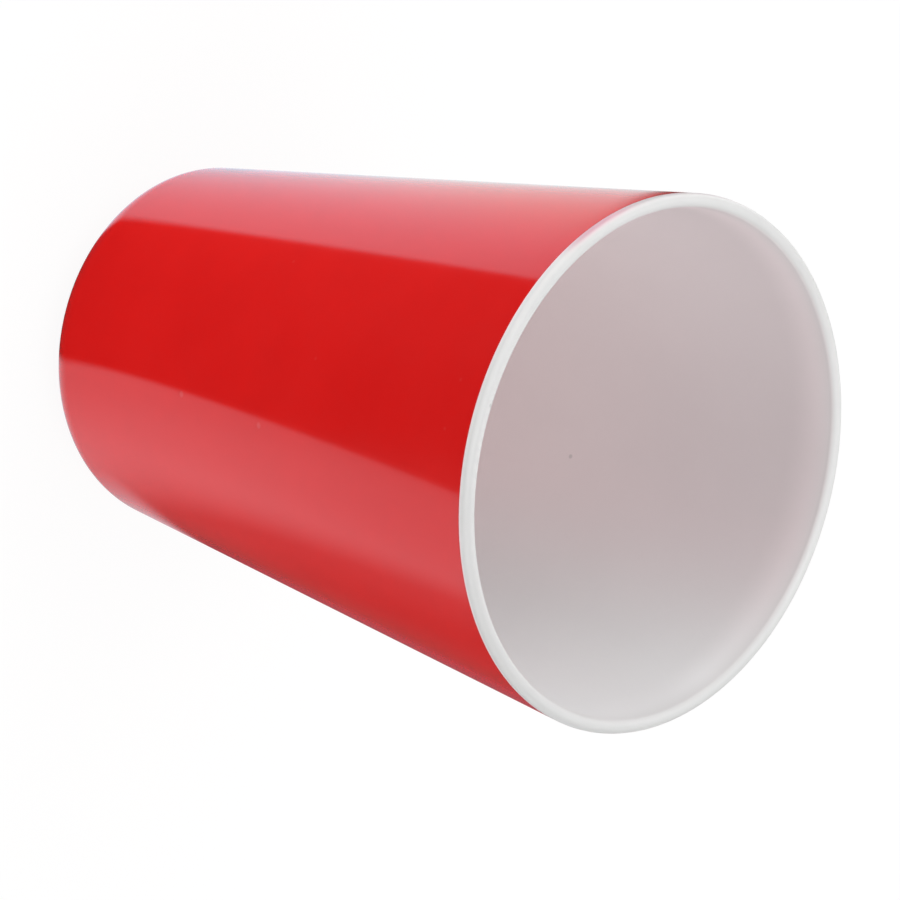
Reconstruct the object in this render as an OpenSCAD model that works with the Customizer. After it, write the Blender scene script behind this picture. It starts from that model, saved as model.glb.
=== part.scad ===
// Tumbler-shaped plastic mug without a handle, red outside and white inside.
// It is pressed in one mould from two charges of resin that cure together: the red
// shot makes the outside and the base, the white shot makes the inside and the lip.
// The mug stands on its foot ring at z = 0, with its mouth up. Sizes are millimetres.

/* [Outside] */
// Height from the table to the top of the lip
height = 113; // [95:1:140]
// Outside diameter over the lip
mouth_d = 85; // [75:1:100]
// Diameter at which the wall's line meets the table, before the corner is rounded
base_d = 58.8; // [52:0.2:68]
// Outside radius between the wall and the base
corner_r = 8; // [5:0.5:11]

/* [Wall and floor] */
// Thickness of the wall, both colours together
wall = 2.2; // [2:0.1:4]
// Thickness of the floor at its middle, both colours together
floor_t = 3.2; // [2.6:0.1:5]
// Inside radius between the wall and the floor
inner_corner_r = 9; // [5:0.5:14]

/* [White layer] */
// Thickness of the white layer on the inside
white_t = 1.1; // [0.8:0.1:1.6]
// Height of the white lip, from the colour line to the top
lip_h = 1.8; // [1.5:0.1:4]

/* [Foot] */
// Width of the flat ring that the mug stands on
foot_w = 3.4; // [2:0.2:6]
// Depth of the hollow inside the ring
hollow_depth = 0.8; // [0.4:0.1:1.2]
// Width of the slope between the ring and the hollow's flat roof
hollow_slope = 1.6; // [0.8:0.2:3]

/* [Hidden] */
$fn = 180;

red = [0.80, 0.07, 0.07];
white = [0.92, 0.92, 0.91];

base_r = base_d / 2;
lip_r = wall / 2;
lip_centre = [mouth_d / 2 - lip_r, height - lip_r];

// The wall leans out by wall_lean, so that its outer line starts at the base circle
// and touches the round of the lip.
lip_reach = norm(lip_centre - [base_r, 0]);
lip_bearing = atan2(lip_centre.y, lip_centre.x - base_r);
wall_lean = acos(-lip_r / lip_reach) - lip_bearing;

// The parting surface between the two colours lies white_t outside the inner one.
red_t = wall - white_t;
red_floor_t = floor_t - white_t;
parting_corner_r = inner_corner_r + white_t;
line_z = height - lip_h;

// Every round is drawn this much too large, so that it crosses the straight lines
// on both sides of it and doesn't just touch them.
overlap = 0.0002;
clear = 2;

// Point at height z on the surface that lies depth behind the outside of the wall.
function on_wall(depth, z) = [base_r + (z * sin(wall_lean) - depth) / cos(wall_lean), z];

// Centre of the round, of radius r, between that surface and a floor at floor_z.
function round_centre(depth, floor_z, r) = on_wall(depth, floor_z + r) - [r / cos(wall_lean), 0];

// What has to come off a sharp corner to leave a round of radius r, drawn with the
// round's centre at the origin, between the angles a0 and a1.
module corner_relief(r, a0, a1) {
    difference() {
        polygon([[0, 0], for (a = [a0, (a0 + a1) / 2, a1]) 2 * r * [cos(a), sin(a)]]);
        circle(r + overlap);
    }
}

// Half section of a solid bowl: flat floor, rounded corner and leaning wall, cut off
// level at the height top.
module bowl(depth, floor_z, r, top) {
    difference() {
        polygon([[0, floor_z], on_wall(depth, floor_z), on_wall(depth, top), [0, top]]);
        translate(round_centre(depth, floor_z, r)) corner_relief(r, -90, -wall_lean);
    }
}

// What has to come off the end of the wall to leave the lip fully rounded.
module lip_relief() {
    translate(lip_centre) rotate(-wall_lean) difference() {
        translate([-2 * lip_r, 0]) square([4 * lip_r, 2 * lip_r + 2 * clear]);
        circle(lip_r + overlap);
    }
}

// Half section of the hollow under the base, inside the ring.
module hollow() {
    r = round_centre(0, 0, corner_r).x - foot_w;
    polygon([[0, -clear], [r, -clear], [r, 0], [r - hollow_slope, hollow_depth], [0, hollow_depth]]);
}

// Half section of the mug.
module mug_section() {
    difference() {
        bowl(0, 0, corner_r, height + clear / 2);
        bowl(wall, floor_t, inner_corner_r, height + clear);
        lip_relief();
        hollow();
    }
}

// Everything outside the parting surface and below the colour line.
module red_side() {
    difference() {
        translate([0, -clear]) square([mouth_d, line_z + clear]);
        bowl(red_t, red_floor_t, parting_corner_r, height);
    }
}

module mug() {
    color(red) rotate_extrude() intersection() {
        mug_section();
        red_side();
    }
    color(white) rotate_extrude() difference() {
        mug_section();
        red_side();
    }
}

mug();
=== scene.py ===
import math
import bpy
import numpy as np
from mathutils import Matrix, Vector


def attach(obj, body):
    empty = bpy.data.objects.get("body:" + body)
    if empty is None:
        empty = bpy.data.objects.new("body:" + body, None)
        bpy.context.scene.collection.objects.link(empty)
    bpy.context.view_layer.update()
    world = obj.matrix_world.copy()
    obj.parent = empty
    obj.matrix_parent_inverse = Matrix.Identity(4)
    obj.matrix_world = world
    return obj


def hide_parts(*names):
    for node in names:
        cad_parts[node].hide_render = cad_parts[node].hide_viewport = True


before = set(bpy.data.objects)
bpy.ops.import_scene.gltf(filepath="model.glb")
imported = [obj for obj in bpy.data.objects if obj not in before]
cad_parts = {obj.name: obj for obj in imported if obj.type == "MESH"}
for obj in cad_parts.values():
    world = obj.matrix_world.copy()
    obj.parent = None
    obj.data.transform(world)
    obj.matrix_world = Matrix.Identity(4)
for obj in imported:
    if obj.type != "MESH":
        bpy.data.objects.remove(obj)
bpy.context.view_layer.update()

# Sizes in metres. The height and the mouth stay 0.01 mm inside the solid's.
HEIGHT = 0.11299
MOUTH_R = 0.04249
BASE_R = 0.0294
CORNER_R = 0.008
WALL = 0.0022
FLOOR_T = 0.0032
INNER_CORNER_R = 0.009
WHITE_T = 0.0011
LINE_Z = 0.1112
FOOT_W = 0.0034
HOLLOW_DEPTH = 0.0008
HOLLOW_SLOPE = 0.0016
EDGE_SOFT = 0.0003
AROUND = 384
SHARP_ANGLE = math.radians(40)

LIP_R = WALL / 2
LIP_CENTRE = np.array([MOUTH_R - LIP_R, HEIGHT - LIP_R])
REACH = math.hypot(LIP_CENTRE[0] - BASE_R, LIP_CENTRE[1])
LEAN = math.acos(-LIP_R / REACH) - math.atan2(LIP_CENTRE[1], LIP_CENTRE[0] - BASE_R)
OUTWARD = np.array([math.cos(LEAN), -math.sin(LEAN)])


def on_wall(depth, z):
    """Point at height z on the surface that lies depth behind the outside of the wall:
    r = BASE_R + (z sin(lean) - depth) / cos(lean)."""
    return np.array([BASE_R + (z * math.sin(LEAN) - depth) / math.cos(LEAN), z])


def round_centre(depth, floor_z, radius):
    """Centre of the round that touches both that surface and a floor at floor_z."""
    return on_wall(depth, floor_z + radius) - np.array([radius / math.cos(LEAN), 0.0])


def line(p, q, n):
    """n points of p + t (q - p), for t evenly from 0 to 1."""
    t = np.linspace(0.0, 1.0, n)[:, None]
    return np.asarray(p) + t * (np.asarray(q) - np.asarray(p))


def arc(centre, radius, a0, a1, n):
    """n points of centre + radius (cos a, sin a), for a evenly from a0 to a1."""
    a = np.linspace(a0, a1, n)[:, None]
    return np.asarray(centre) + radius * np.hstack([np.cos(a), np.sin(a)])


def bend(p, corner, q, n=7):
    """n points of (1 - t)^2 p + 2 t (1 - t) corner + t^2 q, for t evenly from 0 to 1."""
    t = np.linspace(0.0, 1.0, n)[:, None]
    return (1 - t) ** 2 * p + 2 * t * (1 - t) * corner + t ** 2 * q


def join(*runs):
    """One run of points; a point that repeats the one before it is left out."""
    points = np.vstack(runs)
    step = np.linalg.norm(np.diff(points, axis=0), axis=1)
    return points[np.concatenate([[True], step > 1e-7])]


def outside_section():
    """Hollow, foot ring, corner round and wall, from the axis up to the colour line."""
    centre = round_centre(0.0, 0.0, CORNER_R)
    edge = np.array([centre[0] - FOOT_W, 0.0])
    roof = edge + [-HOLLOW_SLOPE, HOLLOW_DEPTH]
    up_slope = EDGE_SOFT * (roof - edge) / np.linalg.norm(roof - edge)
    inward = np.array([-EDGE_SOFT, 0.0])
    roof_bend = bend(roof + inward, roof, roof - up_slope)
    edge_bend = bend(edge + up_slope, edge, edge - inward)
    return join(
        line([0.0, HOLLOW_DEPTH], roof_bend[0], 8),
        roof_bend,
        line(roof_bend[-1], edge_bend[0], 4),
        edge_bend,
        line(edge_bend[-1], [centre[0], 0.0], 6),
        arc(centre, CORNER_R, -math.pi / 2, -LEAN, 28),
        line(centre + CORNER_R * OUTWARD, on_wall(0.0, LINE_Z), 30),
    )


def parting_section():
    """Surface where the two colours meet inside the wall, from the colour line to the axis."""
    radius = INNER_CORNER_R + WHITE_T
    depth, floor_z = WALL - WHITE_T, FLOOR_T - WHITE_T
    centre = round_centre(depth, floor_z, radius)
    return join(
        line(on_wall(0.0, LINE_Z), on_wall(depth, LINE_Z), 4),
        line(on_wall(depth, LINE_Z), centre + radius * OUTWARD, 20),
        arc(centre, radius, -LEAN, -math.pi / 2, 20),
        line([centre[0], floor_z], [0.0, floor_z], 8),
    )


def inside_section():
    """Floor, inner round, inner wall and the full round of the lip, from the axis to the line."""
    centre = round_centre(WALL, FLOOR_T, INNER_CORNER_R)
    return join(
        line([0.0, FLOOR_T], [centre[0], FLOOR_T], 10),
        arc(centre, INNER_CORNER_R, -math.pi / 2, -LEAN, 26),
        line(centre + INNER_CORNER_R * OUTWARD, LIP_CENTRE - LIP_R * OUTWARD, 30),
        arc(LIP_CENTRE, LIP_R, math.pi - LEAN, -LEAN, 32),
        line(LIP_CENTRE + LIP_R * OUTWARD, on_wall(0.0, LINE_Z), 4),
    )


def turn(name, section, around=AROUND):
    """Closed surface of revolution (r(s) cos u, r(s) sin u, z(s)) of a half section that
    starts and ends on the axis, with u from 0 to 2 pi; the two ends are one point each."""
    inner = section[1:-1]
    u = np.arange(around) * (2 * np.pi / around)
    ring = np.stack([inner[:, :1] * np.cos(u), inner[:, :1] * np.sin(u),
                     np.repeat(inner[:, 1:], around, axis=1)], axis=-1)
    verts = np.vstack([ring.reshape(-1, 3), [[0, 0, section[0, 1]], [0, 0, section[-1, 1]]]])
    rows = len(inner)
    i, j = np.meshgrid(np.arange(rows - 1), np.arange(around), indexing="ij")
    k = (j + 1) % around
    quads = np.stack([i * around + j, i * around + k, (i + 1) * around + k, (i + 1) * around + j],
                     axis=-1).reshape(-1, 4)
    first = np.arange(around)
    after = (first + 1) % around
    last = (rows - 1) * around
    start_fan = np.stack([np.full(around, rows * around), after, first], axis=-1)
    end_fan = np.stack([np.full(around, rows * around + 1), last + first, last + after], axis=-1)
    loops = np.concatenate([quads.ravel(), start_fan.ravel(), end_fan.ravel()]).astype(np.int32)
    sizes = np.concatenate([np.full(len(quads), 4), np.full(2 * around, 3)]).astype(np.int32)
    starts = np.concatenate([[0], np.cumsum(sizes)[:-1]]).astype(np.int32)
    mesh = bpy.data.meshes.new(name)
    mesh.vertices.add(len(verts))
    mesh.vertices.foreach_set("co", verts.astype(np.float32).ravel())
    mesh.loops.add(len(loops))
    mesh.loops.foreach_set("vertex_index", loops)
    mesh.polygons.add(len(sizes))
    mesh.polygons.foreach_set("loop_start", starts)
    mesh.polygons.foreach_set("use_smooth", np.ones(len(sizes), dtype=bool))
    mesh.update(calc_edges=True)
    mesh.validate()
    mesh.set_sharp_from_angle(angle=SHARP_ANGLE)
    piece = bpy.data.objects.new(name, mesh)
    bpy.context.scene.collection.objects.link(piece)
    return piece


class Maker:
    """Short ways to add nodes to one material. Every pattern reads Object coordinates."""

    def __init__(self, name):
        self.material = bpy.data.materials.new(name)
        self.material.use_nodes = True
        self.tree = self.material.node_tree
        self.tree.nodes.clear()
        self.link = self.tree.links.new
        self.output = self.node("ShaderNodeOutputMaterial")
        self.place = self.node("ShaderNodeTexCoord").outputs["Object"]

    def node(self, kind, **values):
        made = self.tree.nodes.new(kind)
        for key, value in values.items():
            setattr(made, key, value)
        return made

    def feed(self, socket, value):
        if isinstance(value, bpy.types.NodeSocket):
            self.link(value, socket)
        else:
            socket.default_value = value

    def math(self, operation, a, b):
        made = self.node("ShaderNodeMath", operation=operation)
        self.feed(made.inputs[0], a)
        self.feed(made.inputs[1], b)
        return made.outputs["Value"]

    def times(self, *values):
        """Product of the values."""
        total = values[0]
        for value in values[1:]:
            total = self.math("MULTIPLY", total, value)
        return total

    def plus(self, *values):
        """Sum of the values."""
        total = values[0]
        for value in values[1:]:
            total = self.math("ADD", total, value)
        return total

    def vector(self, operation, a, b):
        made = self.node("ShaderNodeVectorMath", operation=operation)
        self.feed(made.inputs[0], a)
        self.feed(made.inputs[3 if operation == "SCALE" else 1], b)
        return made.outputs["Value" if operation in ("DOT_PRODUCT", "DISTANCE") else "Vector"]

    def scale(self, colour, by):
        """The colour times a number."""
        return self.vector("SCALE", colour, by)

    def along(self, *direction):
        """Distance from the origin along a direction."""
        return self.vector("DOT_PRODUCT", self.place, direction)

    def length(self, vector):
        made = self.node("ShaderNodeVectorMath", operation="LENGTH")
        self.feed(made.inputs[0], vector)
        return made.outputs["Value"]

    def ramp(self, value, start, end, low=0.0, high=1.0, kind="SMOOTHSTEP"):
        """low up to start, high from end on, and a smooth change between them."""
        made = self.node("ShaderNodeMapRange", interpolation_type=kind)
        self.feed(made.inputs["Value"], value)
        numbers = {"From Min": start, "From Max": end, "To Min": low, "To Max": high}
        for name, number in numbers.items():
            made.inputs[name].default_value = number
        return made.outputs["Result"]

    def mix(self, factor, a, b):
        """Colour a where the factor is 0 and b where it is 1."""
        made = self.node("ShaderNodeMix", data_type="RGBA")
        for name, value in (("Factor", factor), ("A", a), ("B", b)):
            sockets = [k for k in made.inputs if k.name == name and k.type in ("RGBA", "VALUE")]
            self.feed(sockets[-1 if name != "Factor" else 0], value)
        return [k for k in made.outputs if k.type == "RGBA"][0]

    def noise(self, scale, detail=2.0):
        made = self.node("ShaderNodeTexNoise")
        made.inputs["Scale"].default_value = scale
        made.inputs["Detail"].default_value = detail
        self.link(self.place, made.inputs["Vector"])
        return made.outputs["Fac"]

    def spots(self, colour, dust, strength, radius, softness, places):
        """The colour with round spots of dust, which fade out over softness."""
        total = None
        for at in places:
            away = self.vector("DISTANCE", self.place, at)
            spot = self.ramp(away, radius, radius + softness, 1.0, 0.0)
            total = spot if total is None else self.math("MAXIMUM", total, spot)
        return self.mix(self.times(total, strength), colour, dust)

    def plastic(self, colour, rough, polish_scale, wave_scale, wave_strength, ior, gloss):
        """Resin of a colour, with an uneven polish between two roughnesses and a very fine
        wave of the surface."""
        bsdf = self.node("ShaderNodeBsdfPrincipled")
        bump = self.node("ShaderNodeBump")
        bump.inputs["Strength"].default_value = wave_strength
        bump.inputs["Distance"].default_value = 0.0002
        bsdf.inputs["IOR"].default_value = ior
        bsdf.inputs["Specular IOR Level"].default_value = gloss
        self.link(colour, bsdf.inputs["Base Color"])
        polish = self.ramp(self.noise(polish_scale), 0.0, 1.0, *rough, "LINEAR")
        self.link(polish, bsdf.inputs["Roughness"])
        self.link(self.noise(wave_scale, 0.0), bump.inputs["Height"])
        self.link(bump.outputs["Normal"], bsdf.inputs["Normal"])
        self.link(bsdf.outputs["BSDF"], self.output.inputs["Surface"])
        return self.material


def glossy_red():
    """Red resin with a pressed, glossy skin: a faint cloudiness in the colour, a painted shade
    line where the white begins, and a few grains of dust."""
    red, clouded_red = (0.795, 0.0050, 0.0042, 1), (0.825, 0.0060, 0.0050, 1)
    red_shaded_at_line = (0.42, 0.010, 0.012, 1)
    dust = (1.0, 0.9, 0.9, 1)
    m = Maker("red_resin")
    height = m.along(0, 0, 1)
    colour = m.mix(m.ramp(m.noise(60.0, 4.0), 0.3, 0.7), red, clouded_red)
    # Painted shade: the red darkens in a thin band just below the colour line.
    colour = m.mix(m.ramp(height, 0.11085, 0.11120, 0.0, 0.45), colour, red_shaded_at_line)
    # The red is made 4.5% lighter at the foot and 4.5% darker at the rim, evenly with height.
    colour = m.scale(colour, m.ramp(height, 0.0, 0.111, 1.045, 0.955, "LINEAR"))
    colour = m.spots(colour, dust, 0.016, 0.0001, 0.00035, [
        (-0.00200, -0.03773, 0.07157), (-0.01598, -0.03216, 0.05557),
        (0.00329, -0.04165, 0.10565), (-0.00438, -0.04160, 0.10613)])
    colour = m.spots(colour, dust, 0.045, 0.0002, 0.0005, [
        (0.00884, -0.03291, 0.03960), (0.01034, -0.03500, 0.06057)])
    return m.plastic(colour, rough=(0.09, 0.13), polish_scale=140.0, wave_scale=450.0,
                     wave_strength=0.012, ior=1.65, gloss=0.5)


def satin_white():
    """White resin: neutral on the lip, where it is white right through, and a little pink inside,
    where the red shot shows through it, with a neutral grey inside on the +X side. Light and
    shade
    are painted in: the inside is painted lighter lower down and near the rim, and the lip is
    painted lighter and darker across its round. A thin pink line runs beside the red, painted
    lighter than the lip like a highlight, and a painted red glow lies on the lip at the back
    left, as if the red threw its light there."""
    deep_painted_lighter, upper = (0.885, 0.783, 0.786, 1), (0.764, 0.688, 0.698, 1)
    right_side = (0.745, 0.755, 0.757, 1)
    beside_line_pink_highlight = (0.97, 0.80, 0.83, 1)
    red_glow_end, painted_red_glow = (0.61, 0.57, 0.58, 1), (0.74, 0.46, 0.53, 1)
    lip_dust, inside_dust = (0.30, 0.30, 0.29, 1), (0.30, 0.29, 0.29, 1)
    m = Maker("white_resin")
    along_x, along_y, height = m.along(1, 0, 0), m.along(0, 1, 0), m.along(0, 0, 1)
    radius = m.length(m.vector("MULTIPLY", m.place, (1, 1, 0)))

    # Painted light: the inside is painted lighter lower down than near the top, to make up for
    # the shade in its depth.
    inside = m.mix(m.ramp(height, 0.045, 0.105), deep_painted_lighter, upper)
    # The inside is made 1.5% lighter towards -X and a neutral grey towards +X.
    inside = m.scale(inside, m.ramp(along_x, -0.035, -0.010, 1.015, 1.0))
    inside = m.mix(m.ramp(along_x, 0.004, 0.032), inside, right_side)
    # Painted light: the inside is painted up to 17% lighter near the rim, less so on the +X side.
    painted_light_near_rim = m.times(m.ramp(height, 0.104, 0.1120, 0.0, 0.17),
                       m.ramp(along_x, 0.029, 0.037, 1.0, 0.1))
    inside = m.scale(inside, m.plus(painted_light_near_rim, 1.0))

    # Painted light and shade on the lip: it is painted darker on the outer half of its top,
    # lighter at its outer edge (less so on the +X side), lighter just above the colour line
    # around the +Y and -Y sides, and 6% darker towards +X, to even out the shading of its round.
    crest_with_painted_shade = m.ramp(radius, 0.0406, 0.0413, 0.69, 0.63)
    less_at_right = m.times(m.ramp(along_x, 0.020, 0.040, 0.0, -0.55),
                            m.ramp(along_y, 0.002, 0.012, 1.0, 0.0))
    outer_edge_painted_light = m.times(m.ramp(radius, 0.0418, 0.0426, 0.0, 0.18), m.plus(less_at_right, 1.0))
    by_the_line_painted_light = m.times(m.ramp(along_x, -0.030, -0.015), m.ramp(along_x, 0.0, 0.03, 0.08, 0.0),
                          m.ramp(height, 0.1116, 0.1121, 1.0, 0.0))
    lip = m.scale((1.0, 1.0, 0.995), m.plus(outer_edge_painted_light, by_the_line_painted_light, crest_with_painted_shade))
    lip = m.scale(lip, m.ramp(along_x, 0.0, 0.035, 1.0, 0.94))
    # A thin pink line beside the red, where the red shows through, painted lighter than the lip
    # like a highlight.
    line_width = m.times(m.ramp(height, 0.11132, 0.11160, 1.0, 0.0),
                         m.ramp(radius, 0.0415, 0.042))
    lip = m.mix(line_width, lip, beside_line_pink_highlight)
    # Painted light: a red glow on the lip at the back left, as if the red wall threw its light
    # there.
    red_glow_mask = m.times(m.ramp(height, 0.1120, 0.11295, 1.0, 0.0),
                        m.ramp(along_x, -0.0315, -0.025, 1.0, 0.0),
                        m.ramp(along_y, -0.006, 0.006, 1.0, 0.0))
    lip = m.mix(red_glow_mask, lip, m.mix(m.ramp(along_x, -0.0385, -0.0335), red_glow_end, painted_red_glow))

    colour = m.mix(m.ramp(radius, 0.0399, 0.0407), inside, lip)
    colour = m.scale(colour, m.ramp(m.noise(45.0, 3.0), 0.0, 1.0, 0.97, 1.03, "LINEAR"))
    colour = m.spots(colour, lip_dust, 0.4, 0.00015, 0.00025, [(-0.00177, -0.04112, 0.11297)])
    colour = m.spots(colour, inside_dust, 0.35, 0.0002, 0.0003, [(0.00193, 0.03452, 0.06304)])
    return m.plastic(colour, rough=(0.46, 0.54), polish_scale=160.0, wave_scale=900.0,
                     wave_strength=0.03, ior=1.5, gloss=0.3)


def studio_floor():
    """Plain pale floor. It is white to the camera, with the mug's faint shadow kept. Glossy
    surfaces mirror light painted on it: a dark table with two glowing cards on it, one on each
    side of the mug, which give the mug its reflected highlights, and the faint red glow that the
    mug throws on the table."""
    cool_near, cool_far = (0.52, 1.0, 1.18, 1), (0.66, 0.97, 1.0, 1)
    right_tint, glow_tint = (1.0, 1.0, 1.10), (1.0, 0.03, 0.15)
    m = Maker("pale_floor")

    def left_of(p, q):
        """Distance on the floor to the left of the line from p to q."""
        p, q = np.array(p), np.array(q)
        along = (q - p) / np.linalg.norm(q - p)
        left = np.array([-along[1], along[0]])
        return m.math("SUBTRACT", m.along(left[0], left[1], 0), float(left @ p))

    def inside_arc(p, q, rise):
        """Distance on the floor inside the circle through p and q that rises by rise to the
        right of the line from p to q (to its left where rise is negative)."""
        p, q = np.array(p), np.array(q)
        chord = np.linalg.norm(q - p)
        along = (q - p) / chord
        radius = (chord ** 2 / 4 + rise ** 2) / (2 * abs(rise))
        centre = (p + q) / 2 + np.array([-along[1], along[0]]) * (radius * np.sign(rise) - rise)
        away = m.vector("DISTANCE", m.place, (centre[0], centre[1], 0))
        return m.math("SUBTRACT", float(radius), away)

    from_axis = m.length(m.place)
    along_x, along_y = m.along(1, 0, 0), m.along(0, 1, 0)

    # Painted light: the left glowing card, seen only in reflections.
    behind_edge = m.times(inside_arc((-0.0930, -0.0540), (-0.0272, -0.0275), -0.0018), -1.0)
    level = m.times(m.ramp(behind_edge, 0.0, 0.075, 0.86, 1.03),
                    m.ramp(from_axis, 0.075, 0.125, 1.0, 0.88))
    shape = m.times(m.ramp(behind_edge, -0.0014, 0.0014),
                    m.ramp(from_axis, 0.118, 0.126, 1.0, 0.0),
                    m.ramp(along_x, -0.01, 0.01, 1.0, 0.0))
    tint = m.mix(m.ramp(behind_edge, 0.02, 0.09), cool_near, cool_far)
    left_glow_card = m.scale(tint, m.times(level, shape))

    # Painted light: the right glowing card, seen only in reflections.
    past_edge = inside_arc((0.0132, -0.0367), (0.0520, -0.0915), 0.0030)
    edge = m.plus(m.ramp(past_edge, -0.0012, 0.0014, 0.0, 0.80),
                  m.ramp(past_edge, 0.002, 0.018, 0.0, 0.10))
    level = m.times(m.ramp(left_of((0.096, -0.029), (0.034, -0.012)), -0.015, 0.015),
                    m.ramp(from_axis, 0.034, 0.12, 0.63, 0.44))
    tail = m.ramp(left_of((0.096, -0.010), (0.034, -0.010)), -0.035, 0.035, 0.0, 0.23)
    near_foot = m.times(m.ramp(along_x, 0.014, 0.03), m.ramp(from_axis, 0.034, 0.0430, 0.50, 0.0))
    level = m.math("MAXIMUM", m.times(m.plus(level, tail), edge), near_foot)
    right_glow_card = m.scale(right_tint, level)

    glow_left = m.times(m.ramp(along_x, -0.046, -0.036, 0.0, 0.14),
                        m.ramp(along_y, 0.0, 0.010), m.ramp(along_y, 0.022, 0.034, 1.0, 0.0))
    glow_left = m.math("MAXIMUM", glow_left, m.ramp(from_axis, 0.0295, 0.0335, 0.25, 0.0))
    glow_left = m.times(glow_left, m.ramp(along_x, -0.020, -0.005, 1.0, 0.0))
    glow_right = m.times(m.ramp(left_of((0.034, -0.003), (0.095, 0.067)), 0.0, 0.015, 0.0, 0.18),
                         m.ramp(along_x, 0.0, 0.020))
    glow = m.scale(glow_tint, m.plus(glow_left, glow_right))

    table = m.plus(m.ramp(along_x, -0.060, 0.0, 0.072, 0.047),
                   m.ramp(along_x, 0.02, 0.06, 0.0, 0.068))
    mirrored = m.scale((1.0, 1.0, 1.0), table)
    for added in (left_glow_card, right_glow_card, glow):
        mirrored = m.vector("ADD", mirrored, added)

    diffuse = m.node("ShaderNodeBsdfDiffuse")
    diffuse.inputs["Color"].default_value = (0.95, 0.95, 0.95, 1)
    path = m.node("ShaderNodeLightPath")
    seen = m.node("ShaderNodeEmission")
    reflected = m.node("ShaderNodeEmission")
    m.link(mirrored, reflected.inputs["Color"])
    to_camera = m.node("ShaderNodeMixShader")
    to_mirror = m.node("ShaderNodeMixShader")
    m.link(m.times(path.outputs["Is Camera Ray"], 0.94), to_camera.inputs["Fac"])
    m.link(diffuse.outputs["BSDF"], to_camera.inputs[1])
    m.link(seen.outputs["Emission"], to_camera.inputs[2])
    mirror_rays = m.math("MAXIMUM", path.outputs["Is Glossy Ray"],
                         path.outputs["Is Transmission Ray"])
    m.link(mirror_rays, to_mirror.inputs["Fac"])
    m.link(to_camera.outputs["Shader"], to_mirror.inputs[1])
    m.link(reflected.outputs["Emission"], to_mirror.inputs[2])
    m.link(to_mirror.outputs["Shader"], m.output.inputs["Surface"])
    return m.material


# The mug: the red outside and the white inside, which meet on the parting surface.
mug_outside = turn("mug_outside", join(outside_section(), parting_section()))
mug_outside.data.materials.append(glossy_red())
mug_inside = turn("mug_inside", join(parting_section()[::-1], inside_section()[::-1]))
mug_inside.data.materials.append(satin_white())
for piece, slot in ((mug_outside, "red_plastic"), (mug_inside, "white_plastic")):
    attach(piece, "root")
    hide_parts("mug")

# Floor, light and camera.
ground = bpy.data.meshes.new("studio_floor")
ground.from_pydata([(-3, -3, 0), (3, -3, 0), (3, 3, 0), (-3, 3, 0)], [], [(0, 1, 2, 3)])
floor = bpy.data.objects.new("studio_floor", ground)
bpy.context.scene.collection.objects.link(floor)
ground.materials.append(studio_floor())

world = bpy.data.worlds.new("studio")
bpy.context.scene.world = world
world.use_nodes = True
world.node_tree.nodes["Background"].inputs["Color"].default_value = (1, 1, 1, 1)
world.node_tree.nodes["Background"].inputs["Strength"].default_value = 0.30

LIT_CENTRE = Vector((0, 0, 0.06))
LAMP_DISTANCE = 1.4


def softbox(name, azimuth, elevation, width, watts):
    """Square soft lamp at LAMP_DISTANCE from the mug's middle, facing it."""
    a, e = math.radians(azimuth), math.radians(elevation)
    away = Vector((math.cos(e) * math.cos(a), math.cos(e) * math.sin(a), math.sin(e)))
    lamp = bpy.data.lights.new(name, "AREA")
    lamp.shape = "SQUARE"
    lamp.size, lamp.energy = width, watts
    made = bpy.data.objects.new(name, lamp)
    made.location = LIT_CENTRE + LAMP_DISTANCE * away
    made.rotation_euler = (-away).to_track_quat("-Z", "Y").to_euler()
    bpy.context.scene.collection.objects.link(made)


softbox("top_softbox", 0, 90, 1.6, 8.5)
softbox("top_lamp", 0, 90, 0.5, 4.3)
softbox("front_softbox", -90, 55, 0.6, 0.8)
softbox("left_softbox", 180, 32, 1.4, 12.0)
softbox("right_softbox", 0, 47, 1.4, 7.3)

# The camera looks down into the mouth and is turned, so the mug lies on its side in the view.
camera_data = bpy.data.cameras.new("camera")
camera_data.lens = 198
camera_data.sensor_width = 36
camera_data.clip_start = 0.01
camera = bpy.data.objects.new("camera", camera_data)
right = Vector((-0.26310, 0.66168, 0.70211))
up = Vector((-0.96477, -0.18044, -0.19147))
back = Vector((0.0, -0.72775, 0.68584))
turned = Matrix((right, up, back)).transposed().to_4x4()
camera.matrix_world = Matrix.Translation((0.006156, -0.577471, 0.612845)) @ turned
bpy.context.scene.collection.objects.link(camera)
bpy.context.scene.camera = camera

bpy.context.scene.view_settings.view_transform = "Standard"
